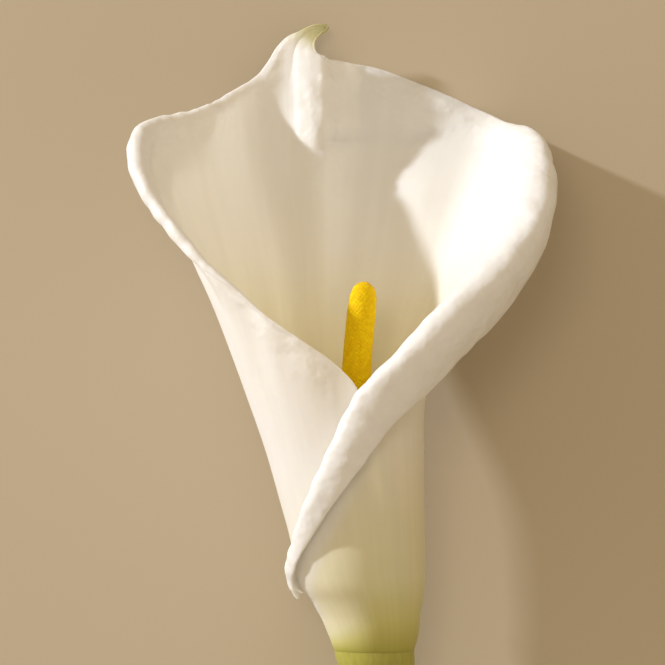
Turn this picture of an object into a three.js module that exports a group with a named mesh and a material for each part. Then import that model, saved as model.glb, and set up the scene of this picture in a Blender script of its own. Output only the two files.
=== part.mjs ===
import * as THREE from 'three';

// An arum lily flower, cut and laid on its back: the white spathe, the spadix inside it and a short stem.
// Lengths are in millimetres and angles in degrees.
// Shapes are worked out in the flower's own frame, whose origin is the middle of the spathe's foot:
// x to the right of someone looking into the mouth, y up to the tip, z out of the mouth.

// How the flower lies: turned about x until the back of the mouth and the stem's end both touch z = 0.
const LIE_TILT = 8.95;
const LIE_SHIFT = [8.974, -31.268, 25.966];

// Spathe. The sheet goes round the spadix one and a half times, each full turn TURN_STEP further out,
// so that its two margins lie over each other. Its mouth flares, most near the margin, and the margin
// rises into a cusp at the back.
const SHEET = { foot: 1, mouth: 0.9, edge: 0.7, thinsOver: 60 };
const TURN_STEP = 2;
const FLARE_POWER = 4;
const CUSP = { from: 156, slope: 0.2 };

// Tip: above this height the sheet bends to the right and away from the back.
const HOOK = { from: 163, bend: 0.104, middle: -23, forward: 0.12 };

// Tube: height, radius.
const TUBE_RADIUS = [
  [0, 9.8], [4.6, 11.3], [9.7, 12.7], [13.5, 14.3], [17.5, 16.3], [23, 17.5], [30, 18.2], [41, 19.6],
  [53, 21.2], [69, 24.1], [81, 27.9], [94, 32.8], [107, 38.8], [120, 45.5], [135, 53], [150, 60], [170, 68],
];

// Tube: height, how far the middle of the section lies to the right.
const TUBE_LEAN = [
  [0, 0.3], [4.6, 0], [9.7, -0.9], [13.5, -1.9], [17.5, -3.3], [23, -4.4], [30, -5.2], [41, -6.8],
  [53, -8.6], [69, -11.2], [81, -11.6], [94, -11.4], [107, -11], [135, -10.8], [170, -10.6],
];

// Margin, from its hidden inner end, over the left lobe, the tip and the right lobe, to its outer end.
// Each station is: angle from the back (+ to the right), height, radius (0 is the tube's own),
// then the rolled edge's width, how far it turns and how flat its curl is.
const MARGIN = [
  [-226, 30, 0, 0.9, 8, 0.6],
  [-209, 50, 0, 1, 12, 0.6],
  [-195, 68, 0, 1.2, 20, 0.6],
  [-178, 76, 0, 1.8, 35, 0.6],
  [-160, 82, 0, 2.2, 50, 0.6],
  [-144, 88, 0, 2.6, 70, 0.6],
  [-131, 94.5, 0, 3.2, 95, 0.6],
  [-119, 102.5, 38.2, 4.4, 130, 0.6],
  [-109, 111, 42.9, 6, 160, 0.6],
  [-100, 120.5, 47.8, 8, 180, 0.6],
  [-91, 130.2, 51.4, 11, 190, 0.6],
  [-79, 138.8, 51.2, 12, 180, 0.6],
  [-66, 141.7, 46.8, 9.5, 140, 0.6],
  [-54, 143.6, 42.6, 7, 105, 0.6],
  [-42, 146.3, 42.5, 5.5, 85, 0.6],
  [-31.5, 151, 45, 4, 60, 0.6],
  [-24.5, 156.5, 48, 2.2, 35, 0.6],
  [-19.3, 163.9, 50, 1, 12, 0.6],
  [-17, 167.4, 50.6, 0.7, 8, 0.6],
  [-14.8, 170.9, 51, 0.5, 6, 0.6],
  [-13.2, 178.4, 51, 0.4, 6, 0.6],
  [-10.4, 171, 51.4, 0.5, 6, 0.6],
  [-7.2, 165.7, 51.7, 0.5, 6, 0.6],
  [-3.7, 162.1, 51, 0.4, 6, 0.6],
  [2, 161.2, 51.5, 0.6, 8, 0.6],
  [14, 158, 51.8, 1.5, 12, 0.6],
  [29, 151.9, 53.5, 1.6, 15, 0.6],
  [46, 143.4, 60, 2.2, 30, 0.6],
  [61, 139, 56.5, 5.5, 70, 0.6],
  [75, 133, 52, 14.5, 130, 0.58],
  [88, 123.5, 49, 24, 170, 0.59],
  [101, 110, 44.4, 30.5, 190, 0.6],
  [113, 98, 38.2, 32.5, 200, 0.61],
  [126, 87, 32.4, 32, 205, 0.59],
  [140, 76, 27.6, 30, 210, 0.56],
  [157, 64.8, 23.6, 26, 215, 0.52],
  [177, 52.3, 21, 20.5, 215, 0.48],
  [201, 39.8, 19.4, 14, 215, 0.45],
  [226, 28.8, 18.2, 9.8, 215, 0.44],
  [247, 21.3, 17.2, 8, 215, 0.44],
  [262, 16.2, 15.6, 6.8, 200, 0.44],
  [273, 15.4, 15.2, 2.6, 150, 0.45],
  [284, 14.2, 0, 1.3, 60, 0.5],
  [298, 10, 0, 1, 40, 0.6],
  [312, 5, 0, 1, 40, 0.6],
];

// A ridge down the back of the mouth and a hollow on each side of it: angle, half width, depth, and the
// heights where each starts and is full.
const FOLDS = [
  { angle: -5.5, width: 8.5, depth: 9, from: 75, full: 146 },
  { angle: -15, width: 9, depth: 3.5, from: 85, full: 146 },
  { angle: 34, width: 16, depth: -5, from: 126, full: 141 },
  { angle: -38, width: 13, depth: -4, from: 100, full: 152 },
];

// Spathe mesh: steps round the margin, then up the wall, the band under the margin and the rolled edge.
const SPATHE_STEPS = { round: 88, up: [14, 6, 8] };
const WALL_ROW_POWER = 1.5;
const BAND_LEAST = 3;

// Spadix: the path of its middle as height, x, z, and its radius by height. Its florets are raised bumps.
const SPADIX_FOOT_GAP = 0.3;
const SPADIX_TOP = 99.4;
const SPADIX_PATH = [[0, 0, 0], [20, -2.2, 0], [40, -4, 0.8], [75, -5, 2], [99.4, -2.8, 3]];
const SPADIX_RADIUS = [
  [0, 4.3], [3, 4.7], [16, 4.8], [20, 4.1], [26, 3.9], [60, 4.1], [85, 4], [93, 3.8], [96.2, 3.2], [98.4, 2],
  [99.4, 0.7],
];
const FLORET_HEIGHT = 0.32;
const SPADIX_STEPS = { round: 28, up: 84 };

// Stem: its top carries the spathe and the spadix, and its end is cut on a slant.
// Its path is distance down from the top and place to the right.
const STEM_LENGTH = 112;
const STEM_TOP_GAP = 0.3;
const STEM_PATH = [[0, 0.3], [20, 1.7], [50, 2], [80, -1.5], [112, -9.5]];
const STEM_SLANT = { angle: 22, power: 6 };
const STEM_RADIUS = [
  [0, 10.2], [0.6, 10.6], [4, 10.1], [10, 9.2], [20, 8.5], [35, 8.2], [80, 8.3], [112, 8.6],
];
const STEM_STEPS = { round: 32, along: 18, power: 1.5 };

const radians = THREE.MathUtils.degToRad;

// A smooth curve through hand-set points [x, value].
function smooth(points, x) {
  const last = points.length - 1;
  const at = THREE.MathUtils.clamp(x, points[0][0], points[last][0]);
  let i = 0;
  while (i < last - 1 && at >= points[i + 1][0]) i += 1;
  const slope = (k) => (points[k + 1][1] - points[k][1]) / (points[k + 1][0] - points[k][0]);
  const tangent = (k) => {
    if (k === 0) return slope(0);
    if (k === last) return slope(last - 1);
    const before = points[k][0] - points[k - 1][0];
    const after = points[k + 1][0] - points[k][0];
    return (slope(k - 1) * after + slope(k) * before) / (before + after);
  };
  const [x0, y0] = points[i];
  const [x1, y1] = points[i + 1];
  const step = x1 - x0;
  const u = (at - x0) / step;
  const rise = u * u * (3 - 2 * u);
  return y0 * (1 - rise) + y1 * rise
    + step * (tangent(i) * u * (1 - u) * (1 - u) - tangent(i + 1) * u * u * (1 - u));
}

function ease(x) {
  return THREE.MathUtils.smoothstep(x, 0, 1);
}

// From the flower's own frame to where it lies.
function lie([x, y, z]) {
  const tilt = radians(LIE_TILT);
  return [
    x + LIE_SHIFT[0],
    y * Math.cos(tilt) - z * Math.sin(tilt) + LIE_SHIFT[1],
    y * Math.sin(tilt) + z * Math.cos(tilt) + LIE_SHIFT[2],
  ];
}

// The margin's values at any place between its stations.
const stationCurve = (value) => MARGIN.map((station, i) => [i, value(station)]);
const MARGIN_CURVES = {
  angle: stationCurve(([angle]) => angle),
  height: stationCurve(([, height]) => height),
  reach: stationCurve(([, height]) => Math.min(height, CUSP.from)),
  radius: stationCurve(([, height, radius]) => radius || smooth(TUBE_RADIUS, height)),
  width: stationCurve(([, , , width]) => width),
  turn: stationCurve(([, , , , turn]) => turn),
  flat: stationCurve(([, , , , , flat]) => flat),
};

function marginAt(place) {
  const values = Object.entries(MARGIN_CURVES).map(([name, curve]) => [name, smooth(curve, place)]);
  return Object.fromEntries(values);
}

// The sheet's outer face between the foot and the start of the rolled edge.
function wallPoint(margin, height) {
  const low = Math.min(height, margin.reach);
  const flare = margin.radius - smooth(TUBE_RADIUS, margin.reach);
  let radius = smooth(TUBE_RADIUS, low) + flare * (low / margin.reach) ** FLARE_POWER;
  radius += CUSP.slope * (height - low) + TURN_STEP * margin.angle / 360;
  for (const fold of FOLDS) {
    const across = Math.exp(-(((margin.angle - fold.angle) / fold.width) ** 2));
    radius -= fold.depth * across * ease((height - fold.from) / (fold.full - fold.from));
  }
  const angle = radians(margin.angle);
  const x = smooth(TUBE_LEAN, height) + radius * Math.sin(angle);
  return new THREE.Vector3(x, height, -radius * Math.cos(angle));
}

// The wall's rows lie level, and those of the band above it climb to the margin.
function rowHeight(margin, up) {
  const level = Math.min(margin.height - BAND_LEAST, CUSP.from);
  if (up <= 1) return level * up ** WALL_ROW_POWER;
  return THREE.MathUtils.lerp(level, margin.height, Math.min(up - 1, 1));
}

// The rolled edge curls out from the end of the wall on a flattened arc.
function rollPoint(place, margin, along) {
  const beside = 0.05;
  const wallEnd = (at) => {
    const m = marginAt(at);
    return wallPoint(m, m.height);
  };
  const hinge = wallPoint(margin, margin.height);
  const edgeways = wallEnd(place + beside).sub(wallEnd(place - beside)).normalize();
  const upwards = hinge.clone().sub(wallPoint(margin, margin.height - 1));
  const outwards = upwards.clone().cross(edgeways).normalize();
  const across = edgeways.clone().cross(outwards);
  const turn = radians(margin.turn);
  const on = margin.width * Math.sin(turn * along) / turn;
  const out = margin.width * margin.flat * (1 - Math.cos(turn * along)) / turn;
  return hinge.addScaledVector(across, on).addScaledVector(outwards, out);
}

function hook(point) {
  const above = point.y - HOOK.from;
  if (above <= 0) return point;
  const bend = HOOK.bend * above;
  const aside = point.x - HOOK.middle;
  return new THREE.Vector3(
    HOOK.middle + (1 - Math.cos(bend)) / HOOK.bend + aside * Math.cos(bend),
    HOOK.from + Math.sin(bend) / HOOK.bend - aside * Math.sin(bend),
    point.z + HOOK.forward * above,
  );
}

// The sheet's outer face: place counts stations, and up goes from 0 at the foot over 1 and 2, where the band
// and the rolled edge start, to 3.
function sheetPoint(place, up) {
  const margin = marginAt(place);
  return hook(up <= 2 ? wallPoint(margin, rowHeight(margin, up)) : rollPoint(place, margin, up - 2));
}

function sheetNormal(place, up) {
  const beside = 0.02;
  const last = MARGIN.length - 1;
  const [left, right] = [Math.max(place - beside, 0), Math.min(place + beside, last)];
  const [below, above] = [Math.max(up - beside, 0), Math.min(up + beside, 3)];
  const round = sheetPoint(right, up).sub(sheetPoint(left, up));
  const rise = sheetPoint(place, above).sub(sheetPoint(place, below));
  return round.cross(rise).normalize();
}

function sheetThickness(place, up) {
  const height = rowHeight(marginAt(place), up);
  const wall = THREE.MathUtils.lerp(SHEET.foot, SHEET.mouth, ease(height / SHEET.thinsOver));
  return THREE.MathUtils.lerp(wall, SHEET.edge, Math.max(up - 2, 0));
}

function apart(p, q) {
  return Math.hypot(p[0] - q[0], p[1] - q[1], p[2] - q[2]);
}

// A closed shell between two grids of points. Each quad is split along the outer face's shorter diagonal,
// alike on both faces.
function shellGeometry(outer, inner) {
  const columns = outer.length;
  const rows = outer[0].length;
  const positions = [...outer.flat(), ...inner.flat()].flat();
  const front = (i, j) => i * rows + j;
  const back = (i, j) => (columns + i) * rows + j;
  const faces = [];
  for (let i = 0; i < columns - 1; i += 1) {
    for (let j = 0; j < rows - 1; j += 1) {
      const [a, b, c, d] = [front(i, j), front(i + 1, j), front(i + 1, j + 1), front(i, j + 1)];
      const [e, f, g, h] = [back(i, j), back(i + 1, j), back(i + 1, j + 1), back(i, j + 1)];
      const rising = apart(outer[i][j], outer[i + 1][j + 1]) < apart(outer[i + 1][j], outer[i][j + 1]);
      if (rising) faces.push(a, c, b, a, d, c, e, f, g, e, g, h);
      else faces.push(a, d, b, b, d, c, e, f, h, f, g, h);
    }
    const [a, b, c, d] = [front(i, 0), front(i + 1, 0), back(i, 0), back(i + 1, 0)];
    faces.push(a, b, c, b, d, c);
    const top = rows - 1;
    const [e, f, g, h] = [front(i, top), front(i + 1, top), back(i, top), back(i + 1, top)];
    faces.push(e, g, f, f, g, h);
  }
  for (let j = 0; j < rows - 1; j += 1) {
    const [a, b, c, d] = [front(0, j), front(0, j + 1), back(0, j), back(0, j + 1)];
    faces.push(a, c, b, b, c, d);
    const end = columns - 1;
    const [e, f, g, h] = [front(end, j), front(end, j + 1), back(end, j), back(end, j + 1)];
    faces.push(e, f, g, f, h, g);
  }
  const geometry = new THREE.BufferGeometry();
  geometry.setAttribute('position', new THREE.Float32BufferAttribute(positions, 3));
  geometry.setIndex(faces);
  return geometry;
}

// A closed rod through rings of points, with flat ends.
function rodGeometry(rings) {
  const round = rings[0].length;
  const middle = (ring) => ring.reduce((sum, p) => sum.map((v, k) => v + p[k] / round), [0, 0, 0]);
  const positions = [...rings.flat(), middle(rings[0]), middle(rings[rings.length - 1])].flat();
  const first = rings.length * round;
  const faces = [];
  for (let i = 0; i < round; i += 1) {
    const next = (i + 1) % round;
    for (let j = 0; j < rings.length - 1; j += 1) {
      const [a, b] = [j * round + i, j * round + next];
      const [c, d] = [(j + 1) * round + next, (j + 1) * round + i];
      faces.push(...((i + j) % 2 ? [a, b, c, a, c, d] : [a, b, d, b, c, d]));
    }
    const end = (rings.length - 1) * round;
    faces.push(first, next, i, first + 1, end + i, end + next);
  }
  const geometry = new THREE.BufferGeometry();
  geometry.setAttribute('position', new THREE.Float32BufferAttribute(positions, 3));
  geometry.setIndex(faces);
  return geometry;
}

// Spathe: where it touches the surface its back is pressed flat.
function spathe() {
  const rows = SPATHE_STEPS.up.flatMap((steps, k) => Array.from({ length: steps }, (_, j) => k + j / steps));
  rows.push(SPATHE_STEPS.up.length);
  const outer = [];
  const inner = [];
  for (let i = 0; i <= SPATHE_STEPS.round; i += 1) {
    const place = (MARGIN.length - 1) * i / SPATHE_STEPS.round;
    const faces = rows.map((up) => {
      const thickness = sheetThickness(place, up);
      const point = sheetPoint(place, up);
      const inside = point.clone().addScaledVector(sheetNormal(place, up), thickness);
      const [x, y, z] = lie(point.toArray());
      const [u, v, w] = lie(inside.toArray());
      return [[x, y, Math.max(z, 0)], [u, v, Math.max(w, thickness)]];
    });
    outer.push(faces.map(([point]) => point));
    inner.push(faces.map(([, inside]) => inside));
  }
  return shellGeometry(outer, inner);
}

// Spadix: a slim rod whose bumps stand on alternate points of its surface, as the florets do.
function spadix() {
  const { round, up } = SPADIX_STEPS;
  const path = (k) => SPADIX_PATH.map((point) => [point[0], point[k]]);
  const rings = [];
  for (let j = 0; j <= up; j += 1) {
    const height = SPADIX_FOOT_GAP + (SPADIX_TOP - SPADIX_FOOT_GAP) * j / up;
    const smoothRadius = smooth(SPADIX_RADIUS, height);
    const bump = FLORET_HEIGHT * Math.min(1, smoothRadius / SPADIX_RADIUS[0][1]);
    rings.push(Array.from({ length: round }, (_, i) => {
      const angle = 2 * Math.PI * i / round;
      const radius = smoothRadius + ((i + j) % 2 ? -bump : bump) / 2;
      const x = smooth(path(1), height) + radius * Math.cos(angle);
      const z = smooth(path(2), height) - radius * Math.sin(angle);
      return lie([x, height, z]);
    }));
  }
  return rodGeometry(rings);
}

// Stem: its cut end rests on the surface.
function stem() {
  const { round, along } = STEM_STEPS;
  const cutSlope = Math.tan(radians(STEM_SLANT.angle));
  const rings = [];
  for (let j = along; j >= 0; j -= 1) {
    const part = j / along;
    const down = STEM_LENGTH * part ** STEM_STEPS.power;
    const radius = smooth(STEM_RADIUS, down);
    rings.push(Array.from({ length: round }, (_, i) => {
      const angle = 2 * Math.PI * i / round;
      const slant = cutSlope * radius * Math.cos(angle) * part ** STEM_SLANT.power;
      const x = smooth(STEM_PATH, down) + radius * Math.cos(angle);
      return lie([x, -STEM_TOP_GAP - down + slant, -radius * Math.sin(angle)]);
    }));
  }
  return rodGeometry(rings);
}

function piece(name, geometry, color, roughness) {
  geometry.computeVertexNormals();
  const material = new THREE.MeshStandardMaterial({ color, roughness, metalness: 0 });
  const mesh = new THREE.Mesh(geometry, material);
  mesh.name = name;
  return mesh;
}

const flower = new THREE.Group();
flower.add(
  piece('spathe', spathe(), 0xf6f1e4, 0.5),
  piece('spadix', spadix(), 0xe0a80c, 0.8),
  piece('stem', stem(), 0x8f9a3c, 0.45),
);

export default flower;
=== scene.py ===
import math

import bpy
import numpy as np
from mathutils import Matrix, Vector


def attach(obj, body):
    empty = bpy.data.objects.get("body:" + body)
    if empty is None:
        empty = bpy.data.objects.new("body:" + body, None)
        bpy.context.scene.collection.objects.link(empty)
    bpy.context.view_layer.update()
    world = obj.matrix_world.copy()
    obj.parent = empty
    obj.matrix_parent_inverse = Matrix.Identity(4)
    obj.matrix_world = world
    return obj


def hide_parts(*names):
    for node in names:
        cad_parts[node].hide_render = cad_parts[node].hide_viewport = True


# An arum lily flower, cut and laid on its back: a white spathe, the spadix inside it and a short stem.
# The flower's own shapes are worked out in millimetres and degrees, in the flower's own frame, whose origin
# is the middle of the spathe's foot: x to the right of someone looking into the mouth, y up to the tip and
# z out of the mouth. lie() then puts them where the flower lies, and they become metres in the meshes.

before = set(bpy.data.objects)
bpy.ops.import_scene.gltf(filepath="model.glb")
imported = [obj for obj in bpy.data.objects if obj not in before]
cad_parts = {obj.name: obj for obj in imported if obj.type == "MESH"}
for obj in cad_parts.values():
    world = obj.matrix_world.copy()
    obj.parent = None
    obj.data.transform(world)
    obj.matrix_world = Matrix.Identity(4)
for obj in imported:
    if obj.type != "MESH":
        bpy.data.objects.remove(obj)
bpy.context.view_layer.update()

MM = 0.001
# Corners sharper than this many degrees stay sharp.
SHARP_FROM = 60.0

# How the flower lies: turned about x, then moved.
LIE_TILT = math.radians(8.95)
LIE_SHIFT = (8.974, -31.268, 25.966)

# Spathe: its thickness at the foot, up in the mouth and at the edge. It goes round the spadix one and a half
# times, each full turn TURN_STEP further out.
SHEET = {"foot": 1.0, "mouth": 0.9, "edge": 0.7, "thins_over": 60.0}
TURN_STEP = 2.0
# The wall leaves the tube for the margin's radius with this power of the height.
FLARE_POWER = 4.0
# Above this height the wall leans out evenly into the tip.
CUSP = {"from": 156.0, "slope": 0.2}
# Above this height the tip bends to the right about its middle, by so many radians for each millimetre up,
# and leans forward by a share of it.
HOOK = {"from": 163.0, "bend": 0.104, "middle": -23.0, "forward": 0.12}
# The band between the wall's level rows and the margin is at least this tall, and the level rows crowd at the
# foot by this power.
BAND_LEAST = 3.0
WALL_ROW_POWER = 1.5

# Tube: height, radius; then height, how far the middle of the section lies to the right.
TUBE_RADIUS = [
    (0, 9.8), (4.6, 11.3), (9.7, 12.7), (13.5, 14.3), (17.5, 16.3), (23, 17.5), (30, 18.2), (41, 19.6),
    (53, 21.2), (69, 24.1), (81, 27.9), (94, 32.8), (107, 38.8), (120, 45.5), (135, 53), (150, 60), (170, 68),
]
TUBE_LEAN = [
    (0, 0.3), (4.6, 0), (9.7, -0.9), (13.5, -1.9), (17.5, -3.3), (23, -4.4), (30, -5.2), (41, -6.8),
    (53, -8.6), (69, -11.2), (81, -11.6), (94, -11.4), (107, -11), (135, -10.8), (170, -10.6),
]

# Margin, from its hidden inner end, over the left lobe, the tip and the right lobe, to its outer end:
# angle from the back (+ to the right), height, radius (0 is the tube's own), then the rolled edge's width,
# how far it turns and how flat its curl is.
MARGIN = [
    (-226, 30, 0, 0.9, 8, 0.6),
    (-209, 50, 0, 1, 12, 0.6),
    (-195, 68, 0, 1.2, 20, 0.6),
    (-178, 76, 0, 1.8, 35, 0.6),
    (-160, 82, 0, 2.2, 50, 0.6),
    (-144, 88, 0, 2.6, 70, 0.6),
    (-131, 94.5, 0, 3.2, 95, 0.6),
    (-119, 102.5, 38.2, 4.4, 130, 0.6),
    (-109, 111, 42.9, 6, 160, 0.6),
    (-100, 120.5, 47.8, 8, 180, 0.6),
    (-91, 130.2, 51.4, 11, 190, 0.6),
    (-79, 138.8, 51.2, 12, 180, 0.6),
    (-66, 141.7, 46.8, 9.5, 140, 0.6),
    (-54, 143.6, 42.6, 7, 105, 0.6),
    (-42, 146.3, 42.5, 5.5, 85, 0.6),
    (-31.5, 151, 45, 4, 60, 0.6),
    (-24.5, 156.5, 48, 2.2, 35, 0.6),
    (-19.3, 163.9, 50, 1, 12, 0.6),
    (-17, 167.4, 50.6, 0.7, 8, 0.6),
    (-14.8, 170.9, 51, 0.5, 6, 0.6),
    (-13.2, 178.4, 51, 0.4, 6, 0.6),
    (-10.4, 171, 51.4, 0.5, 6, 0.6),
    (-7.2, 165.7, 51.7, 0.25, 6, 0.6),
    (-3.7, 162.1, 51, 0.25, 6, 0.6),
    (2, 161.2, 51.5, 0.6, 8, 0.6),
    (14, 158, 51.8, 1.5, 12, 0.6),
    (29, 151.9, 53.5, 1.6, 15, 0.6),
    (46, 143.4, 60, 2.2, 30, 0.6),
    (61, 139, 56.5, 5.5, 70, 0.6),
    (75, 133, 52, 14.5, 130, 0.58),
    (88, 123.5, 49, 24, 170, 0.59),
    (101, 110, 44.4, 30.5, 190, 0.6),
    (113, 98, 38.2, 32.5, 200, 0.61),
    (126, 87, 32.4, 32, 205, 0.59),
    (140, 76, 27.6, 30, 210, 0.56),
    (157, 64.8, 23.6, 26, 215, 0.52),
    (177, 52.3, 21, 20.5, 215, 0.48),
    (201, 39.8, 19.4, 14, 215, 0.45),
    (226, 28.8, 18.2, 9.8, 215, 0.44),
    (247, 21.3, 17.2, 8, 215, 0.44),
    (262, 16.2, 15.6, 6.8, 200, 0.44),
    (273, 15.4, 15.2, 2.6, 150, 0.45),
    (284, 14.2, 0, 1.3, 60, 0.5),
    (298, 10, 0, 1, 40, 0.6),
    (312, 5, 0, 1, 40, 0.6),
]

# A ridge down the back of the mouth, of two folds, and a hollow on each side of it: angle, half width, how
# far it stands into the mouth, and the heights where it starts and is full.
FOLDS = [(-5.5, 8.5, 9, 75, 146), (-15, 9, 3.5, 85, 146), (34, 16, -5, 126, 141), (-38, 13, -4, 100, 152)]

# The ridge's right flank wavers: how many degrees to each side, the heights where that starts, is full, fades
# and ends, the angles between which it sets in, and a long wave and a short one, with the short one's share.
WAVER = {
    "angle": 1.3, "from": 118.0, "full": 132.0, "fades": 150.0, "ends": 159.0, "flank": (-11.0, -5.0),
    "long": 1.9, "short": 1.15, "short_share": 0.7, "short_shift": 2,
}

# Spathe mesh: steps from station to station, then up the wall, the band under the margin and the rolled edge,
# and round the rim from face to face.
SPATHE_STEPS = {"station": 8, "up": (56, 14, 40), "rim": 4}

# The margin's white and its dents fade out this far below it.
EDGE_FADES = 14.0

# Unevenness of the sheet. Veins and pleats run up it, so many degrees apart and swaying with the height, and
# slow waves cross it on two slants, each so many degrees and millimetres to the radian. All three start at a
# height and grow over the next.
VEINS = {"height": 0.02, "apart": 6.5, "sway": 30.0, "from": 30.0, "grow": 40.0}
PLEATS = {"height": 0.3, "apart": 25.0, "sway": 24.0, "from": 60.0, "grow": 50.0}
WAVES = {"height": 0.3, "slants": ((17.0, 21.0), (-29.0, 33.0)), "from": 50.0, "grow": 60.0}
# A groove inside the left margin with a swell under it, each so far below the margin, between two angles.
GROOVE = {"depth": 2.0, "below": 4.5, "wide": 3.0, "from": -124.0, "to": -48.0, "fades": 26.0}
SWELL = {"height": 1.0, "below": 12.0, "wide": 4.5}
# Lumps of the rolled edge, broad and fine: two waves each, by radians to a station and millimetres to the
# radian.
LUMPS = {
    "height": 0.2, "from": 6.0, "fine_share": 0.6,
    "broad": ((7.1, 4.2), (-3.7, 5.3)), "fine": ((12.3, -3.1), (1.9, 7.3)),
}
# Crumples on the ridge and under the left of the upper margin: place, size and how their creases run.
CRUMPLES = [
    {"angle": -2.0, "wide": 6.0, "at": 146.0, "tall": 14.0, "height": 0.3, "pleat": (2.2, 1.6)},
    {"angle": -35.0, "wide": 12.0, "at": 143.0, "tall": 6.0, "height": 0.13, "pleat": (1.4, 9.0)},
]

# Spadix: the heights of its foot and top, the path of its middle as height, x, z, and its radius by height.
SPADIX_FOOT = 0.3
SPADIX_TOP = 99.4
SPADIX_PATH = [(0, 0, 0), (20, -2.2, 0), (40, -4, 0.8), (75, -5, 2), (99.4, -2.8, 3)]
SPADIX_RADIUS = [
    (0, 4.3), (3, 4.7), (16, 4.8), (20, 4.1), (26, 3.9), (60, 4.1), (85, 4), (93, 3.9), (96.2, 3.5),
    (98.4, 2.4), (99.4, 0.9),
]
# Its lower part carries the pale pistils, and the rest the yellow stamens.
PISTILS = {"count": 110, "size": 1.25, "flatness": 0.9, "from": 1.5, "to": 18.0, "sides": 12, "rings": 8}
STAMENS = {"count": 2300, "size": 0.78, "flatness": 0.28, "from": 18.6, "to": 99.3, "sides": 8, "rings": 5}
# They stand on an axis this much thinner than the spadix, each a golden angle (in radians) on from the last,
# and vary in size by these shares.
FLORETS_STAND = 0.3
GOLDEN_ANGLE = 2.399963
FLORET_SIZES = (0.85, 1.15)
FLORET_SEEDS = {"size": 7, "shade": 3}
SPADIX_STEPS = {"round": 48, "up": 120, "path": 240}

# Stem: distance down from the top, place to the right; then its radius.
STEM_LENGTH = 112.0
STEM_PATH = [(0, 0.3), (20, 1.7), (50, 2), (80, -1.5), (112, -9.5)]
STEM_RADIUS = [(0, 10.2), (4, 10.1), (10, 9.2), (20, 8.5), (35, 8.2), (80, 8.3), (112, 8.6)]
# Its cut is slanted, which grows by this power along the stem, and its middle has dried a little hollow.
STEM_SLANT = {"angle": 22.0, "power": 6}
STEM_HOLLOW = 0.8
# Over this length its top takes the shape of the spathe's foot.
STEM_JOINT = 7.0
STEM_RIBS = {"count": 36, "height": 0.02}
# Stem mesh: its rings crowd at the top by this power.
STEM_STEPS = {"round": 216, "along": 120, "power": 1.3, "cap": 12}

# Petal colours up the spathe, outside and inside: green or yellow at the foot, white in the mouth and
# greenish brown at the tip, its own green darkened there as painted shade.
PETAL_TALL = 180.0
PETAL_WHITE = "f5f3ee"
PETAL_OUTER = [
    (0.0, "aca84c"), (0.05, "cdc884"), (0.11, "e0dab2"), (0.2, "e9e0c0"), (0.32, "efe9da"),
    (0.45, "f3f0ea"), (0.62, PETAL_WHITE), (0.92, PETAL_WHITE), (0.955, "bab58a"), (1.0, "938d5c"),
]
PETAL_INNER = [
    (0.0, "cbbd6e"), (0.35, "f4e9c3"), (0.5, "f5eed5"), (0.6, "f5f1e6"), (0.75, "f5f3ec"),
    (0.92, PETAL_WHITE), (0.955, "c0bb92"), (1.0, "9a9462"),
]
# Outside, the tube is whiter lower down on its left, partly its own colour and partly painted light from
# the window on that side: the angle of its right side, the distances from there where that starts and is
# full, how much further up the colours it takes, and the heights where it sets in.
PALER_LEFT_AND_PAINTED_LIGHT = {"right": 80.0, "from": 95.0, "full": 170.0, "by": 0.16, "sets_in": (0.5, 8.0)}
# The margin is white up to the first height, and no longer so at the second.
WHITE_MARGIN = (130.0, 150.0)
# How fine the vein tones are, by degree and by millimetre up, and how many times finer the grain is.
VEIN_TONES = (0.15, 0.02)
PETAL_GRAIN = (8.0, 2.0, 1.0)
# Dents of the margin and the ridge's top: their spacing and depth, and where the ridge's start and are full.
DENTS = {"apart": 6.0, "depth": 1.1, "off_ridge": (11.0, 4.0), "heights": (115.0, 140.0)}

# Numbers of the sockets that share a name on their node.
MIX_A, MIX_B, MIX_COLOUR = 6, 7, 2
RANDOM_LEAST, RANDOM_MOST, RANDOM_VALUE = 2, 3, 1

# Camera, in the flower's own frame: over this point, so far above it, with a picture this wide there.
CAMERA_OVER = (-11.475, 85.725)
CAMERA_AWAY = 1100
PICTURE_WIDE = 179.55
SENSOR_WIDE = 36
# The lights aim at this point, in metres.
LIT_POINT = (0, 0.05, 0.03)
FLOOR_REACH = 3000
ROOM_LIGHT = {"colour": "f4dfbf", "strength": 0.62}


def smooth(points, x):
    """A smooth curve through given points (x, value)."""
    xs, ys = np.array(points, float).T
    steps = np.diff(xs)
    slopes = np.diff(ys) / steps
    tangents = np.concatenate([slopes[:1], slopes[-1:]])
    inner = (slopes[:-1] * steps[1:] + slopes[1:] * steps[:-1]) / (steps[:-1] + steps[1:])
    tangents = np.insert(tangents, 1, inner)
    x = np.clip(x, xs[0], xs[-1])
    i = np.clip(np.searchsorted(xs, x, side="right") - 1, 0, len(steps) - 1)
    u = (x - xs[i]) / steps[i]
    rise = u * u * (3 - 2 * u)
    bow = tangents[i] * u * (1 - u) ** 2 - tangents[i + 1] * u * u * (1 - u)
    return ys[i] * (1 - rise) + ys[i + 1] * rise + steps[i] * bow


def ease(x):
    """From 0 to 1 as x does, with a gentle start and end."""
    x = np.clip(x, 0, 1)
    return x * x * (3 - 2 * x)


def lie(points):
    """From the flower's own frame to where it lies, still in millimetres."""
    x, y, z = np.moveaxis(points, -1, 0)
    sin, cos = math.sin(LIE_TILT), math.cos(LIE_TILT)
    return np.stack([x, y * cos - z * sin, y * sin + z * cos], -1) + LIE_SHIFT


def unit(vectors):
    """The vectors' directions, each 1 long."""
    shortest = 1e-9
    return vectors / np.maximum(np.linalg.norm(vectors, axis=-1, keepdims=True), shortest)


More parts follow.
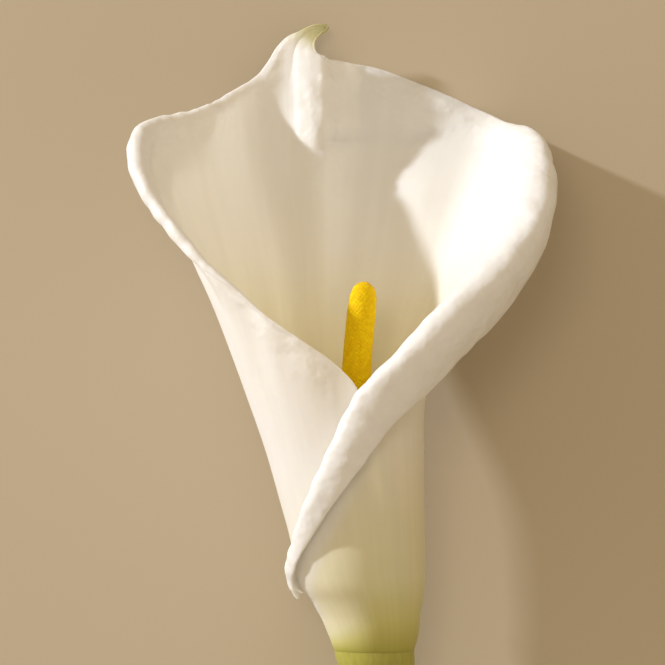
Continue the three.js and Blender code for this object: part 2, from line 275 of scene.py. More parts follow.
# The margin's values by station.
STATIONS = np.array(MARGIN, float)
OWN_RADIUS = smooth(TUBE_RADIUS, STATIONS[:, 1])
MARGIN_CURVES = {
    "angle": STATIONS[:, 0],
    "height": STATIONS[:, 1],
    "reach": np.minimum(STATIONS[:, 1], CUSP["from"]),
    "radius": np.where(STATIONS[:, 2] > 0, STATIONS[:, 2], OWN_RADIUS),
    "width": STATIONS[:, 3],
    "turn": STATIONS[:, 4],
    "flat": STATIONS[:, 5],
}


def margin_at(place):
    """The margin's values at a place between stations."""
    stations = range(len(MARGIN))
    return {name: smooth(list(zip(stations, curve)), place) for name, curve in MARGIN_CURVES.items()}


def flank_waver(angle, height):
    """How many degrees the folds are moved aside where the ridge's right flank wavers."""
    starts, full = WAVER["flank"]
    short_wave = WAVER["short_share"] * np.sin(height / WAVER["short"] + WAVER["short_shift"])
    waver = WAVER["angle"] * (np.sin(height / WAVER["long"]) + short_wave)
    waver = waver * ease((height - WAVER["from"]) / (WAVER["full"] - WAVER["from"]))
    waver = waver * ease((WAVER["ends"] - height) / (WAVER["ends"] - WAVER["fades"]))
    return waver * ease((angle - starts) / (full - starts))


def wall_point(margin, height):
    """The sheet's outer face between the foot and the start of the rolled edge."""
    low = np.minimum(height, margin["reach"])
    flare = margin["radius"] - smooth(TUBE_RADIUS, margin["reach"])
    radius = smooth(TUBE_RADIUS, low) + flare * (low / margin["reach"]) ** FLARE_POWER
    radius = radius + CUSP["slope"] * (height - low) + TURN_STEP * margin["angle"] / 360
    aside = flank_waver(margin["angle"], height)
    for angle, width, depth, start, full in FOLDS:
        across = np.exp(-(((margin["angle"] - angle - aside) / width) ** 2))
        radius = radius - depth * across * ease((height - start) / (full - start))
    angle = np.radians(margin["angle"])
    x = smooth(TUBE_LEAN, height) + radius * np.sin(angle)
    return np.stack(np.broadcast_arrays(x, height, -radius * np.cos(angle)), -1)


def row_height(margin, up):
    """The wall's rows lie level, and those of the band above it climb to the margin."""
    level = np.minimum(margin["height"] - BAND_LEAST, CUSP["from"])
    wall = level * np.clip(up, 0, 1) ** WALL_ROW_POWER
    return wall + (margin["height"] - level) * np.clip(up - 1, 0, 1)


def roll_point(place, margin, along):
    """The rolled edge curls out from the end of the wall on a flattened arc."""
    beside = 0.05
    onwards, backwards = margin_at(place + beside), margin_at(place - beside)
    hinge = wall_point(margin, margin["height"])
    edgeways = unit(wall_point(onwards, onwards["height"]) - wall_point(backwards, backwards["height"]))
    upwards = hinge - wall_point(margin, margin["height"] - 1)
    outwards = unit(np.cross(upwards, edgeways))
    across = np.cross(edgeways, outwards)
    turn = np.radians(margin["turn"])
    on = margin["width"] * np.sin(turn * along) / turn
    out = margin["width"] * margin["flat"] * (1 - np.cos(turn * along)) / turn
    return hinge + across * on[..., None] + outwards * out[..., None]


def hook(points):
    """Above the hook's start the sheet bends to the right and away from the back."""
    x, y, z = np.moveaxis(points, -1, 0)
    above = np.maximum(y - HOOK["from"], 0)
    bend = HOOK["bend"] * above
    aside = x - HOOK["middle"]
    hooked_x = HOOK["middle"] + (1 - np.cos(bend)) / HOOK["bend"] + aside * np.cos(bend)
    hooked_y = np.minimum(y, HOOK["from"]) + np.sin(bend) / HOOK["bend"] - aside * np.sin(bend)
    return np.stack([hooked_x, hooked_y, z + HOOK["forward"] * above], -1)


def sheet_point(place, up):
    """The sheet's outer face: place counts stations; up goes from 0 at the foot over 1 and 2, where the band
    and the rolled edge start, to 3."""
    place, up = np.broadcast_arrays(place, up)
    margin = margin_at(place)
    wall = wall_point(margin, row_height(margin, up))
    roll = roll_point(place, margin, np.clip(up - 2, 0, 1))
    return hook(np.where((up <= 2)[..., None], wall, roll))


def sheet_normal(place, up):
    """Points from the outer face into the funnel."""
    beside = 0.02
    last = len(MARGIN) - 1
    right = sheet_point(np.minimum(place + beside, last), up)
    left = sheet_point(np.maximum(place - beside, 0), up)
    above = sheet_point(place, np.minimum(up + beside, 3))
    below = sheet_point(place, np.maximum(up - beside, 0))
    return unit(np.cross(right - left, above - below))


def sheet_thickness(place, up):
    """Thinner up the wall, and again over the rolled edge."""
    height = row_height(margin_at(place), up)
    wall = SHEET["foot"] + (SHEET["mouth"] - SHEET["foot"]) * ease(height / SHEET["thins_over"])
    return wall + (SHEET["edge"] - wall) * np.clip(up - 2, 0, 1)


def relief(angle, height, below):
    """Soft unevenness of the sheet, along its normal, by angle, height and distance below the margin."""
    veins = VEINS["height"] * np.cos(2 * np.pi * angle / VEINS["apart"] + np.sin(height / VEINS["sway"]))
    veins = veins * ease((height - VEINS["from"]) / VEINS["grow"])
    pleats = PLEATS["height"] * np.sin(2 * np.pi * angle / PLEATS["apart"] + height / PLEATS["sway"])
    pleats = pleats * ease((height - PLEATS["from"]) / PLEATS["grow"])
    first, second = (np.sin(angle / degrees + height / up) for degrees, up in WAVES["slants"])
    waves = WAVES["height"] * first * second * ease((height - WAVES["from"]) / WAVES["grow"])
    groove = -GROOVE["depth"] * np.exp(-((below - GROOVE["below"]) / GROOVE["wide"]) ** 2)
    groove = groove + SWELL["height"] * np.exp(-((below - SWELL["below"]) / SWELL["wide"]) ** 2)
    groove = groove * ease((angle - GROOVE["from"]) / GROOVE["fades"])
    groove = groove * ease((GROOVE["to"] - angle) / GROOVE["fades"])
    total = veins + pleats + waves + groove
    for crumple in CRUMPLES:
        across = (angle - crumple["angle"]) / crumple["wide"]
        along = (height - crumple["at"]) / crumple["tall"]
        crease = np.sin(angle / crumple["pleat"][0] + height / crumple["pleat"][1])
        total = total + crumple["height"] * crease * np.exp(-across ** 2 - along ** 2)
    return total


def lumps(place, onto):
    """Uneven lumps of the rolled edge, along its normal, by station and distance out from the wall."""
    broad, fine = (math.prod(np.sin(turn * place + onto / length) for turn, length in LUMPS[kind])
                   for kind in ("broad", "fine"))
    return LUMPS["height"] * (broad + LUMPS["fine_share"] * fine) * ease(onto / LUMPS["from"])


def object_from(name, vertices, faces, materials):
    """A mesh object at the origin, smooth but for its sharp corners, from vertices in millimetres where the
    flower lies."""
    mesh = bpy.data.meshes.new(name)
    mesh.from_pydata((np.asarray(vertices).reshape(-1, 3) * MM).tolist(), [], faces)
    mesh.validate()
    mesh.polygons.foreach_set("use_smooth", [True] * len(mesh.polygons))
    mesh.set_sharp_from_angle(angle=math.radians(SHARP_FROM))
    piece = bpy.data.objects.new(name, mesh)
    bpy.context.scene.collection.objects.link(piece)
    for material in materials:
        mesh.materials.append(material)
    return piece


def grid_faces(columns, rows, closed):
    """Quads of a grid of columns, each a run of rows, which closes on itself if closed."""
    faces = []
    for i in range(columns - 1):
        for j in range(rows if closed else rows - 1):
            k = (j + 1) % rows
            faces.append((i * rows + j, (i + 1) * rows + j, (i + 1) * rows + k, i * rows + k))
    return faces


def add_attribute(piece, name, values):
    """A number for each vertex."""
    attribute = piece.data.attributes.new(name, "FLOAT", "POINT")
    attribute.data.foreach_set("value", np.asarray(values, np.float32).ravel())


def spathe_grid():
    """Places and ups of the sheet's columns and rows."""
    last = len(MARGIN) - 1
    place = np.linspace(0, last, last * SPATHE_STEPS["station"] + 1)
    up = np.concatenate([k + np.arange(n) / n for k, n in enumerate(SPATHE_STEPS["up"])] + [[3.0]])
    return np.meshgrid(place, up, indexing="ij")


def spathe_walls(place, up):
    """The sheet's outer and inner face, uneven, and pressed flat where they reach the surface below."""
    margin = margin_at(place)
    height = row_height(margin, up)
    normal, thickness = sheet_normal(place, up), sheet_thickness(place, up)
    uneven = relief(margin["angle"], height, margin["height"] - height) * (1 - ease(up - 2))
    uneven = uneven + lumps(place, margin["width"] * np.clip(up - 2, 0, 1))
    outer = sheet_point(place, up) + normal * uneven[..., None]
    inner = outer + normal * thickness[..., None]
    outer, inner = lie(outer), lie(inner)
    outer[..., 2] = np.maximum(outer[..., 2], 0)
    inner[..., 2] = np.maximum(inner[..., 2], thickness)
    return outer, inner


def spathe_rim(outer, inner):
    """A half round from the outer face's edge to the inner one's."""
    across = (inner[:, -1] - outer[:, -1]) / 2
    middle = (inner[:, -1] + outer[:, -1]) / 2
    onwards = unit(outer[:, -1] - outer[:, -2]) * np.linalg.norm(across, axis=-1, keepdims=True)
    turns = np.pi * np.arange(1, SPATHE_STEPS["rim"]) / SPATHE_STEPS["rim"]
    return np.stack([middle - across * math.cos(a) + onwards * math.sin(a) for a in turns], 1)


def spathe_faces(columns, rows):
    """Faces round the sheet, and across its thickness at its first and last column."""
    faces = [face[::-1] for face in grid_faces(columns, rows, closed=True)]
    first, end = list(range(rows)), list(range((columns - 1) * rows, columns * rows))
    for ring, flip in ((first, True), (end, False)):
        for j in range(rows // 2):
            a, b, c, d = ring[j], ring[j + 1], ring[rows - 2 - j], ring[rows - 1 - j]
            face = (a, b, c, d) if b != c else (a, b, d)
            faces.append(face[::-1] if flip else face)
    return faces


def spathe(material):
    """The spathe's sheet as columns that run up the outer face, over the rim and down the inner face."""
    place, up = spathe_grid()
    outer, inner = spathe_walls(place, up)
    vertices = np.concatenate([outer, spathe_rim(outer, inner), inner[:, ::-1]], 1)
    piece = object_from("spathe-sheet", vertices, spathe_faces(*vertices.shape[:2]), [material])

    # For the material: angle round the tube, height up it, nearness to the margin, and 1 on the inner face.
    margin = margin_at(place)
    height = row_height(margin, up)
    rise = height + margin["width"] * np.clip(up - 2, 0, 1)
    edge = 1 - ease((margin["height"] - height) / EDGE_FADES)
    rim = SPATHE_STEPS["rim"]
    for name, values in (("angle", margin["angle"]), ("height", rise), ("edge", edge)):
        over = np.repeat(values[:, -1:], rim - 1, axis=1)
        add_attribute(piece, name, np.concatenate([values, over, values[:, ::-1]], 1))
    columns, rows = place.shape
    inside = np.concatenate([np.zeros(rows), np.arange(1, rim) / rim, np.ones(rows)])
    add_attribute(piece, "inside", np.tile(inside, columns))
    return piece


def linear(code):
    """A colour as the shader wants it, from its sRGB code."""
    parts = [int(code[i:i + 2], 16) / 255 for i in (0, 2, 4)]
    return (*((c / 12.92 if c < 0.04045 else ((c + 0.055) / 1.055) ** 2.4) for c in parts), 1.0)


def add(tree, kind, inputs=None, stops=None, **settings):
    """A node with its settings. Inputs go by name or number, each a value or another node's output; stops are
    a colour ramp's places and sRGB codes."""
    node = tree.nodes.new(kind)
    for name, value in settings.items():
        setattr(node, name, value)
    for socket, value in (inputs or {}).items():
        if isinstance(value, bpy.types.NodeSocket):
            tree.links.new(value, node.inputs[socket])
        else:
            node.inputs[socket].default_value = value
    if stops:
        elements = node.color_ramp.elements
        elements.remove(elements[0])
        elements[0].position, elements[0].color = stops[0][0], linear(stops[0][1])
        for place, code in stops[1:]:
            elements.new(place).color = linear(code)
    return node


def rod_faces(rings, around):
    """Faces of a closed rod through rings of points."""
    last = (rings - 1) * around
    ends = [tuple(range(around)), tuple(range(last + around - 1, last - 1, -1))]
    return grid_faces(rings, around, closed=True) + ends


def spadix_middle(height):
    """The x and z of the spadix's middle."""
    return (smooth([(point[0], point[k]) for point in SPADIX_PATH], height) for k in (1, 2))


def spadix_core(material):
    """The spadix's axis, a smooth rod that the florets stand on."""
    height = np.linspace(SPADIX_FOOT, SPADIX_TOP, SPADIX_STEPS["up"] + 1)[:, None]
    angle = np.linspace(0, 2 * np.pi, SPADIX_STEPS["round"], endpoint=False)[None]
    radius = smooth(SPADIX_RADIUS, height) - FLORETS_STAND
    x, z = spadix_middle(height)
    rings = (x + radius * np.cos(angle), height, z + radius * np.sin(angle))
    rings = lie(np.stack(np.broadcast_arrays(*rings), -1))
    return object_from("spadix-core", rings, rod_faces(*rings.shape[:2]), [material])


def path_samples(tree, given, index):
    """The path at each floret: outputs for its place, direction and values."""
    path = add(tree, "GeometryNodeMeshToCurve", {"Mesh": given["Path"]}).outputs[0]
    end = add(tree, "ShaderNodeMath", {0: given["Count"], 1: 0.5}, operation="SUBTRACT").outputs[0]
    along = add(tree, "ShaderNodeMapRange", {
        "Value": index, "From Min": -0.5, "From Max": end, "To Min": given["From"], "To Max": given["To"],
    }).outputs[0]
    samples = {}
    for name in ("girth", "taper", "crowding"):
        value = add(tree, "GeometryNodeInputNamedAttribute", {"Name": name}, data_type="FLOAT").outputs[0]
        samples[name] = add(tree, "GeometryNodeSampleCurve", {
            "Curves": path, "Value": value, "Factor": along}, mode="FACTOR", data_type="FLOAT").outputs
    return samples


def floret_shape(tree, given):
    """One floret, a flattened bead."""
    bead = add(tree, "GeometryNodeMeshUVSphere", {
        "Segments": given["Sides"], "Rings": given["Rings"], "Radius": 1.0}).outputs["Mesh"]
    shape = add(tree, "ShaderNodeCombineXYZ", {"X": 1.0, "Y": 1.0, "Z": given["Flatness"]}).outputs[0]
    bead = add(tree, "GeometryNodeTransform", {"Geometry": bead, "Scale": shape}).outputs[0]
    return add(tree, "GeometryNodeSetShadeSmooth", {"Geometry": bead}).outputs[0]


def floret_tree():
    """Stands florets along a path in the order in which they grow, each a golden angle on from the last."""
    tree = bpy.data.node_groups.new("florets", "GeometryNodeTree")
    kinds = {"Path": "Geometry", "Count": "Int", "Size": "Float", "From": "Float", "To": "Float",
             "Flatness": "Float", "Sides": "Int", "Rings": "Int", "Material": "Material"}
    for name, kind in kinds.items():
        tree.interface.new_socket(name, in_out="INPUT", socket_type="NodeSocket" + kind)
    tree.interface.new_socket("Florets", in_out="OUTPUT", socket_type="NodeSocketGeometry")
    given = add(tree, "NodeGroupInput").outputs
    index = add(tree, "GeometryNodeInputIndex").outputs[0]
    samples = path_samples(tree, given, index)
    middle, tangent, normal = (samples["girth"][name] for name in ("Position", "Tangent", "Normal"))

    points = add(tree, "GeometryNodePoints", {"Count": given["Count"]}).outputs[0]
    turn = add(tree, "ShaderNodeMath", {0: index, 1: GOLDEN_ANGLE}, operation="MULTIPLY").outputs[0]
    radial = add(tree, "ShaderNodeVectorRotate", {
        "Vector": normal, "Axis": tangent, "Angle": turn}).outputs[0]
    foot = add(tree, "ShaderNodeVectorMath", {0: radial, 1: samples["girth"]["Value"], 2: middle},
               operation="MULTIPLY_ADD").outputs[0]
    outward = add(tree, "ShaderNodeVectorMath", {0: tangent, 1: samples["taper"]["Value"], 2: radial},
                  operation="MULTIPLY_ADD").outputs[0]
    points = add(tree, "GeometryNodeSetPosition", {"Geometry": points, "Position": foot}).outputs[0]

    standing = add(tree, "FunctionNodeAlignRotationToVector", {"Vector": outward}, axis="Z").outputs[0]
    least, most = FLORET_SIZES
    varied = add(tree, "FunctionNodeRandomValue", {
        RANDOM_LEAST: least, RANDOM_MOST: most, "ID": index, "Seed": FLORET_SEEDS["size"],
    }, data_type="FLOAT").outputs[RANDOM_VALUE]
    size = add(tree, "ShaderNodeMath", {0: samples["crowding"]["Value"], 1: given["Size"]},
               operation="MULTIPLY").outputs[0]
    size = add(tree, "ShaderNodeMath", {0: size, 1: varied}, operation="MULTIPLY").outputs[0]
    florets = add(tree, "GeometryNodeInstanceOnPoints", {
        "Points": points, "Instance": floret_shape(tree, given), "Rotation": standing, "Scale": size,
    }).outputs[0]

    shade = add(tree, "FunctionNodeRandomValue", {"Seed": FLORET_SEEDS["shade"]}, data_type="FLOAT")
    florets = add(tree, "GeometryNodeStoreNamedAttribute", {
        "Geometry": florets, "Name": "shade", "Value": shade.outputs[RANDOM_VALUE],
    }, data_type="FLOAT", domain="INSTANCE").outputs[0]
    florets = add(tree, "GeometryNodeRealizeInstances", {"Geometry": florets}).outputs[0]
    florets = add(tree, "GeometryNodeSetMaterial", {
        "Geometry": florets, "Material": given["Material"]}).outputs[0]
    add(tree, "NodeGroupOutput", {"Florets": florets})
    return tree


def floret_path(name):
    """The spadix's middle as a line, with the axis's radius and taper, and how close its florets crowd."""
    height = np.linspace(SPADIX_FOOT, SPADIX_TOP, SPADIX_STEPS["path"])
    girth = smooth(SPADIX_RADIUS, height) - FLORETS_STAND
    x, z = spadix_middle(height)
    path = bpy.data.meshes.new(name)
    path.from_pydata((lie(np.stack([x, height, z], -1)) * MM).tolist(),
                     [(i, i + 1) for i in range(len(height) - 1)], [])
    values = {"girth": girth * MM, "taper": -np.gradient(girth, height),
              "crowding": np.sqrt(girth / girth.max())}
    host = bpy.data.objects.new(name + "-path", path)
    bpy.context.scene.collection.objects.link(host)
    for title, value in values.items():
        add_attribute(host, title, value)
    return host


def florets(name, tree, look, material):
    """Florets along the part of the spadix between two heights, as a plain mesh."""
    host = floret_path(name)
    modifier = host.modifiers.new("florets", "NODES")
    modifier.node_group = tree
    span = SPADIX_TOP - SPADIX_FOOT
    settings = {"Count": look["count"], "Size": look["size"] * MM, "Flatness": look["flatness"],
                "From": (look["from"] - SPADIX_FOOT) / span, "To": (look["to"] - SPADIX_FOOT) / span,
                "Sides": look["sides"], "Rings": look["rings"], "Material": material}
    for item in tree.interface.items_tree:
        if item.name in settings:
            modifier[item.identifier] = settings[item.name]
    evaluated = host.evaluated_get(bpy.context.evaluated_depsgraph_get())
    mesh = bpy.data.meshes.new_from_object(evaluated)
    host.modifiers.remove(modifier)
    path = host.data
    bpy.data.objects.remove(host)
    bpy.data.meshes.remove(path)
    mesh.name = name
    piece = bpy.data.objects.new(name, mesh)
    bpy.context.scene.collection.objects.link(piece)
    return piece


def stem_end(ring, hollow):
    """Rings from the stem's last one in towards its middle, which lies so far inside."""
    middle = ring.mean(axis=0)
    rings = []
    for k in range(1, STEM_STEPS["cap"]):
        spread = 1 - k / STEM_STEPS["cap"]
        inner = middle + (ring - middle) * spread
        inner[:, 1] += hollow * (1 - spread ** 2)
        rings.append(inner)
    return np.array(rings)


def stem(skin, cut):
    """The stem. Its top follows the spathe's outer turn, and its ends are closed by rings that run in to the
    middle."""
    steps = STEM_STEPS
    angle = np.linspace(0, 2 * np.pi, steps["round"], endpoint=False)[None]
    part = np.linspace(0, 1, steps["along"] + 1)[:, None] ** steps["power"]
    down = STEM_LENGTH * part
    ribs = STEM_RIBS["height"] * np.cos(STEM_RIBS["count"] * angle)
    outer_end = MARGIN[-1][0]
    turned = outer_end - (outer_end - 90 + np.degrees(angle)) % 360
    spathe_foot = TUBE_RADIUS[0][1] + TURN_STEP * turned / 360
    joint = 1 - ease(down / STEM_JOINT)
    radius = smooth(STEM_RADIUS, down) + ribs * (1 - joint) + (spathe_foot - STEM_RADIUS[0][1]) * joint
    slant = math.tan(math.radians(STEM_SLANT["angle"])) * radius * np.cos(angle) * part ** STEM_SLANT["power"]
    x = smooth(STEM_PATH, down) + radius * np.cos(angle)
    rings = np.stack([x, slant - down, -radius * np.sin(angle)], -1)
    rings = lie(np.concatenate([stem_end(rings[0], 0)[::-1], rings, stem_end(rings[-1], STEM_HOLLOW)]))
    piece = object_from("stem-stalk", rings, rod_faces(*rings.shape[:2]), [skin, cut])
    rim = (steps["cap"] + steps["along"] - 1) * steps["round"]
    for face in piece.data.polygons:
        if min(face.vertices) >= rim:
            face.material_index = 1
    return piece


def material_from(name, build):
    """A material whose nodes build(tree) adds; it returns the surface shader's inputs."""
    material = bpy.data.materials.new(name)
    material.use_nodes = True
    tree = material.node_tree
    tree.nodes.clear()
    shader = add(tree, "ShaderNodeBsdfPrincipled", build(tree))
    add(tree, "ShaderNodeOutputMaterial", {"Surface": shader.outputs[0]})
    return material


def petal_colour(tree, angle, height, edge, inside):
    """Colours up the outer face, its left whiter, partly as painted light, and up the inner one,
    and the margin's white.
    """
    up = add(tree, "ShaderNodeMapRange", {"Value": height, "From Max": PETAL_TALL}).outputs[0]
    # The left is made whiter, partly its own colour and partly painted light where the window light falls.
    from_right = add(tree, "ShaderNodeMath", {0: angle, 1: PALER_LEFT_AND_PAINTED_LIGHT["right"]},
                     operation="SUBTRACT").outputs[0]
    from_right = add(tree, "ShaderNodeMath", {0: from_right}, operation="ABSOLUTE").outputs[0]
    paler_and_painted_light = add(tree, "ShaderNodeMapRange", {
        "Value": from_right, "From Min": PALER_LEFT_AND_PAINTED_LIGHT["from"], "From Max": PALER_LEFT_AND_PAINTED_LIGHT["full"],
        "To Max": PALER_LEFT_AND_PAINTED_LIGHT["by"]}).outputs[0]
    start, full = PALER_LEFT_AND_PAINTED_LIGHT["sets_in"]
    above = add(tree, "ShaderNodeMapRange", {"Value": height, "From Min": start, "From Max": full}).outputs[0]
    outer_up = add(tree, "ShaderNodeMath", {0: above, 1: paler_and_painted_light, 2: up}, operation="MULTIPLY_ADD").outputs[0]
    outer = add(tree, "ShaderNodeValToRGB", {"Fac": outer_up}, stops=PETAL_OUTER).outputs["Color"]
    inner = add(tree, "ShaderNodeValToRGB", {"Fac": up}, stops=PETAL_INNER).outputs["Color"]
    colour = add(tree, "ShaderNodeMix", {"Factor": inside, MIX_A: outer, MIX_B: inner},
                 data_type="RGBA").outputs[MIX_COLOUR]
    white_to, white_ends = WHITE_MARGIN
    low = add(tree, "ShaderNodeMapRange", {
        "Value": height, "From Min": white_ends, "From Max": white_to}).outputs[0]
    white = add(tree, "ShaderNodeMath", {0: edge, 1: low}, operation="MULTIPLY").outputs[0]
    return add(tree, "ShaderNodeMix", {"Factor": white, MIX_A: colour, MIX_B: linear(PETAL_WHITE)},
               data_type="RGBA").outputs[MIX_COLOUR]


def petal_dents(tree, angle, height, edge):
    """Uneven dents of the margin and of the ridge's top."""
    place = add(tree, "ShaderNodeTexCoord").outputs["Object"]
    dents = add(tree, "ShaderNodeTexNoise", {
        "Vector": place, "Scale": 1 / (DENTS["apart"] * MM), "Detail": 2.0}).outputs["Fac"]
    from_ridge = add(tree, "ShaderNodeMath", {0: angle, 1: FOLDS[0][0]}, operation="SUBTRACT").outputs[0]
    from_ridge = add(tree, "ShaderNodeMath", {0: from_ridge}, operation="ABSOLUTE").outputs[0]
    start, full = DENTS["off_ridge"]
    ridge = add(tree, "ShaderNodeMapRange", {
        "Value": from_ridge, "From Min": start, "From Max": full}).outputs[0]
    start, full = DENTS["heights"]
    high = add(tree, "ShaderNodeMapRange", {"Value": height, "From Min": start, "From Max": full}).outputs[0]
    ridge = add(tree, "ShaderNodeMath", {0: ridge, 1: high}, operation="MULTIPLY").outputs[0]
    uneven = add(tree, "ShaderNodeMath", {0: edge, 1: ridge}, operation="MAXIMUM").outputs[0]
    return add(tree, "ShaderNodeMath", {0: dents, 1: uneven}, operation="MULTIPLY").outputs[0]


def petal(tree):
    """Spathe: thick waxy petal, living tissue that light soaks into and shines through. White, cream to green
    down the tube, whiter on its left partly as painted light, yellow in the throat and greenish at the tip,
    darkened there as painted shade, with faint veins that run up it."""
    angle, height, edge, inside = (add(tree, "ShaderNodeAttribute", attribute_name=name).outputs["Fac"]
                                   for name in ("angle", "height", "edge", "inside"))
    colour = petal_colour(tree, angle, height, edge, inside)

    # Faint tones along the veins.
    per_degree, per_mm = VEIN_TONES
    across = add(tree, "ShaderNodeMath", {0: angle, 1: per_degree}, operation="MULTIPLY").outputs[0]
    along = add(tree, "ShaderNodeMath", {0: height, 1: per_mm}, operation="MULTIPLY").outputs[0]
    vein_place = add(tree, "ShaderNodeCombineXYZ", {"X": across, "Y": along, "Z": inside}).outputs[0]
    veins = add(tree, "ShaderNodeTexNoise", {
        "Vector": vein_place, "Scale": 1.0, "Detail": 3.0}).outputs["Fac"]
    veins = add(tree, "ShaderNodeMapRange", {
        "Value": veins, "From Min": 0.35, "From Max": 0.65, "To Min": 0.965, "To Max": 1.0}).outputs[0]
    colour = add(tree, "ShaderNodeMix", {"Factor": 1.0, MIX_A: colour, MIX_B: veins}, data_type="RGBA",
                 blend_type="MULTIPLY").outputs[MIX_COLOUR]

    # A fine waxy grain that runs with them, drawn coarser than the real one so that it shows.
    fine_place = add(tree, "ShaderNodeVectorMath", {0: vein_place, 1: PETAL_GRAIN},
                     operation="MULTIPLY").outputs[0]
    fine = add(tree, "ShaderNodeTexNoise", {"Vector": fine_place, "Scale": 1.0, "Detail": 4.0}).outputs["Fac"]
    rough = add(tree, "ShaderNodeMapRange", {"Value": fine, "To Min": 0.34, "To Max": 0.54}).outputs[0]
    bump = add(tree, "ShaderNodeBump", {"Height": fine, "Strength": 0.2, "Distance": 0.1 * MM}).outputs[0]
    bump = add(tree, "ShaderNodeBump", {
        "Height": petal_dents(tree, angle, height, edge), "Strength": 1.0, "Distance": DENTS["depth"] * MM,
        "Normal": bump}).outputs[0]
    return {"Base Color": colour, "Roughness": rough, "Normal": bump, "Subsurface Weight": 0.8,
            "Subsurface Radius": (1.0, 0.95, 0.82), "Subsurface Scale": 2.6 * MM, "Specular IOR Level": 0.35}


def floret_skin(tree, stops, roughness, grain):
    """A floret's skin: its own shade of the stops, and a fine grain over it, in millimetres."""
    shade = add(tree, "ShaderNodeAttribute", attribute_name="shade").outputs["Fac"]
    colour = add(tree, "ShaderNodeValToRGB", {"Fac": shade}, stops=stops).outputs["Color"]
    place = add(tree, "ShaderNodeTexCoord").outputs["Object"]
    noise = add(tree, "ShaderNodeTexNoise", {"Vector": place, "Scale": 1 / (grain * MM)}).outputs["Fac"]
    rough = add(tree, "ShaderNodeMapRange", {
        "Value": noise, "To Min": roughness - 0.1, "To Max": roughness + 0.1}).outputs[0]
    bump = add(tree, "ShaderNodeBump", {"Height": noise, "Strength": 0.5, "Distance": 0.08 * MM}).outputs[0]
    return {"Base Color": colour, "Roughness": rough, "Specular IOR Level": 0.2, "Normal": bump,
            "Subsurface Weight": 0.2, "Subsurface Radius": (1.0, 0.7, 0.1), "Subsurface Scale": 0.6 * MM}


def stamen(tree):
    """Stamens: blunt yellow anthers dusted with dry pollen, quite matt."""
    return floret_skin(tree, [(0.0, "f4c500"), (0.5, "f8cc00"), (1.0, "fcd600")], 0.8, 0.25)


def pistil(tree):
    """Pistils: smooth pale green ovaries, faintly moist."""
    return floret_skin(tree, [(0.0, "a3ab55"), (1.0, "cfd38c")], 0.4, 0.8)


def spadix_axis(tree):
    """Spadix axis: the soft yellow-green tissue between the florets."""
    place = add(tree, "ShaderNodeTexCoord").outputs["Object"]
    noise = add(tree, "ShaderNodeTexNoise", {"Vector": place, "Scale": 1 / (1.5 * MM)}).outputs["Fac"]
    colour = add(tree, "ShaderNodeValToRGB", {"Fac": noise}, stops=[
        (0.3, "dfae00"), (0.7, "e8b900")]).outputs["Color"]
    return {"Base Color": colour, "Roughness": 0.8}


def stem_skin(tree):
    """Stem: smooth green skin over juicy tissue, yellower under the spathe, with fine fibres along it and a
    soft gloss."""
    place = add(tree, "ShaderNodeTexCoord").outputs["Object"]
    apart = add(tree, "ShaderNodeSeparateXYZ", {"Vector": place}).outputs
    down = add(tree, "ShaderNodeMapRange", {
        "Value": apart["Y"], "From Min": -30 * MM, "From Max": -146 * MM}).outputs[0]
    colour = add(tree, "ShaderNodeValToRGB", {"Fac": down}, stops=[
        (0.0, "b2ad50"), (0.1, "a8a54b"), (0.45, "8b9d45"), (1.0, "7b9141")]).outputs["Color"]
    fibre_place = add(tree, "ShaderNodeVectorMath", {0: place, 1: (1.0, 0.04, 1.0)},
                      operation="MULTIPLY").outputs[0]
    fibres = add(tree, "ShaderNodeTexNoise", {"Vector": fibre_place, "Scale": 1 / (0.9 * MM), "Detail": 3.0})
    fibres = fibres.outputs["Fac"]
    tone = add(tree, "ShaderNodeMapRange", {
        "Value": fibres, "From Min": 0.3, "From Max": 0.7, "To Min": 0.86, "To Max": 1.05}).outputs[0]
    colour = add(tree, "ShaderNodeMix", {"Factor": 1.0, MIX_A: colour, MIX_B: tone}, data_type="RGBA",
                 blend_type="MULTIPLY").outputs[MIX_COLOUR]
    rough = add(tree, "ShaderNodeMapRange", {"Value": fibres, "To Min": 0.3, "To Max": 0.5}).outputs[0]
    bump = add(tree, "ShaderNodeBump", {"Height": fibres, "Strength": 0.4, "Distance": 0.1 * MM}).outputs[0]
    return {"Base Color": colour, "Roughness": rough, "Normal": bump, "Subsurface Weight": 0.5,
            "Subsurface Radius": (0.8, 1.0, 0.4), "Subsurface Scale": 1.5 * MM}


def stem_cut(tree):
    """Cut end: pale wet tissue, open with the pores of an air-filled stem,
    which are darker green as painted shade.
    """
    place = add(tree, "ShaderNodeTexCoord").outputs["Object"]
    cells = add(tree, "ShaderNodeTexVoronoi", {"Vector": place, "Scale": 1 / (0.9 * MM)}).outputs["Distance"]
    # Darker green at each cell's middle: painted shade in the pores.
    colour = add(tree, "ShaderNodeValToRGB", {"Fac": cells}, stops=[
        (0.1, "8d9a52"), (0.4, "c9cf92"), (0.8, "dfe2b8")]).outputs["Color"]
    bump = add(tree, "ShaderNodeBump", {"Height": cells, "Strength": 0.8, "Distance": 0.3 * MM}).outputs[0]
    return {"Base Color": colour, "Roughness": 0.35, "Normal": bump, "Subsurface Weight": 0.3,
            "Subsurface Radius": (0.8, 1.0, 0.5), "Subsurface Scale": 1.2 * MM}


def matt_paper(tree):
    """Floor: plain matt paper, pale and warm."""
    place = add(tree, "ShaderNodeTexCoord").outputs["Object"]
    noise = add(tree, "ShaderNodeTexNoise", {"Vector": place, "Scale": 3.0}).outputs["Fac"]
    colour = add(tree, "ShaderNodeValToRGB", {"Fac": noise}, stops=[
        (0.3, "beb098"), (0.7, "c5b8a1")]).outputs["Color"]
    return {"Base Color": colour, "Roughness": 0.95}


def floor_sheet():
    """A floor that reaches well past the picture."""
    reach = FLOOR_REACH
    corners = [(-reach, -reach, 0), (reach, -reach, 0), (reach, reach, 0), (-reach, reach, 0)]
    return object_from("floor", corners, [(0, 1, 2, 3)], [material_from("floor-paper", matt_paper)])


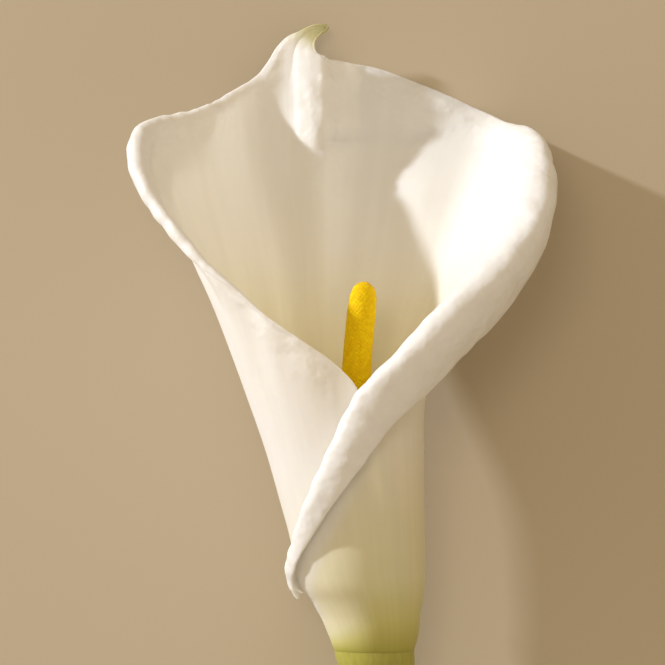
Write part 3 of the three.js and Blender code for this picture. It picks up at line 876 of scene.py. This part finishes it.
def camera_over(tilt):
    """A camera over the flower that looks straight into the mouth."""
    data = bpy.data.cameras.new("camera")
    data.sensor_width = SENSOR_WIDE
    data.lens = SENSOR_WIDE * CAMERA_AWAY / PICTURE_WIDE
    camera = bpy.data.objects.new("camera", data)
    bpy.context.scene.collection.objects.link(camera)
    above = Matrix.Translation(Vector((*CAMERA_OVER, CAMERA_AWAY)) * MM)
    camera.matrix_world = Matrix.Translation(Vector(LIE_SHIFT) * MM) @ tilt @ above
    bpy.context.scene.camera = camera


def softbox(name, tilt, azimuth, elevation, distance, size, watts, colour):
    """A square light, its direction given in the flower's own frame."""
    turn, rise = math.radians(azimuth), math.radians(elevation)
    level = math.cos(rise)
    direction = tilt @ Vector((math.cos(turn) * level, math.sin(turn) * level, math.sin(rise)))
    data = bpy.data.lights.new(name, "AREA")
    data.energy = watts
    data.size = size
    data.color = linear(colour)[:3]
    light = bpy.data.objects.new(name, data)
    bpy.context.scene.collection.objects.link(light)
    light.location = Vector(LIT_POINT) + direction * distance
    light.rotation_euler = direction.to_track_quat("Z", "Y").to_euler()


def room_light():
    """The warm room all round."""
    world = bpy.data.worlds.new("studio")
    bpy.context.scene.world = world
    world.use_nodes = True
    background = world.node_tree.nodes["Background"].inputs
    background["Color"].default_value = linear(ROOM_LIGHT["colour"])
    background["Strength"].default_value = ROOM_LIGHT["strength"]


bpy.context.scene.view_settings.view_transform = "Standard"
sheet = spathe(material_from("spathe-petal", petal))
growth = floret_tree()
core = spadix_core(material_from("spadix-axis", spadix_axis))
stamens = florets("spadix-stamens", growth, STAMENS, material_from("spadix-stamen", stamen))
pistils = florets("spadix-pistils", growth, PISTILS, material_from("spadix-pistil", pistil))
stalk = stem(material_from("stem-skin", stem_skin), material_from("stem-cut", stem_cut))
for piece, node, slot in (
    (sheet, "spathe", "spathe"),
    (core, "spadix", "florets"),
    (stamens, "spadix", "florets"),
    (pistils, "spadix", "florets"),
    (stalk, "stem", "stem"),
):
    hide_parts(node)
    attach(piece, "root")

floor = floor_sheet()

# Light comes low from the left, as a window's, softly from over the mouth, and from the room all round.
flower_tilt = Matrix.Rotation(LIE_TILT, 4, "X")
camera_over(flower_tilt)
softbox("window", flower_tilt, azimuth=153, elevation=9, distance=2.5, size=0.11, watts=63, colour="f4f8ff")
softbox("over", flower_tilt, azimuth=130, elevation=76, distance=1.8, size=0.5, watts=4, colour="fff1dc")
room_light()
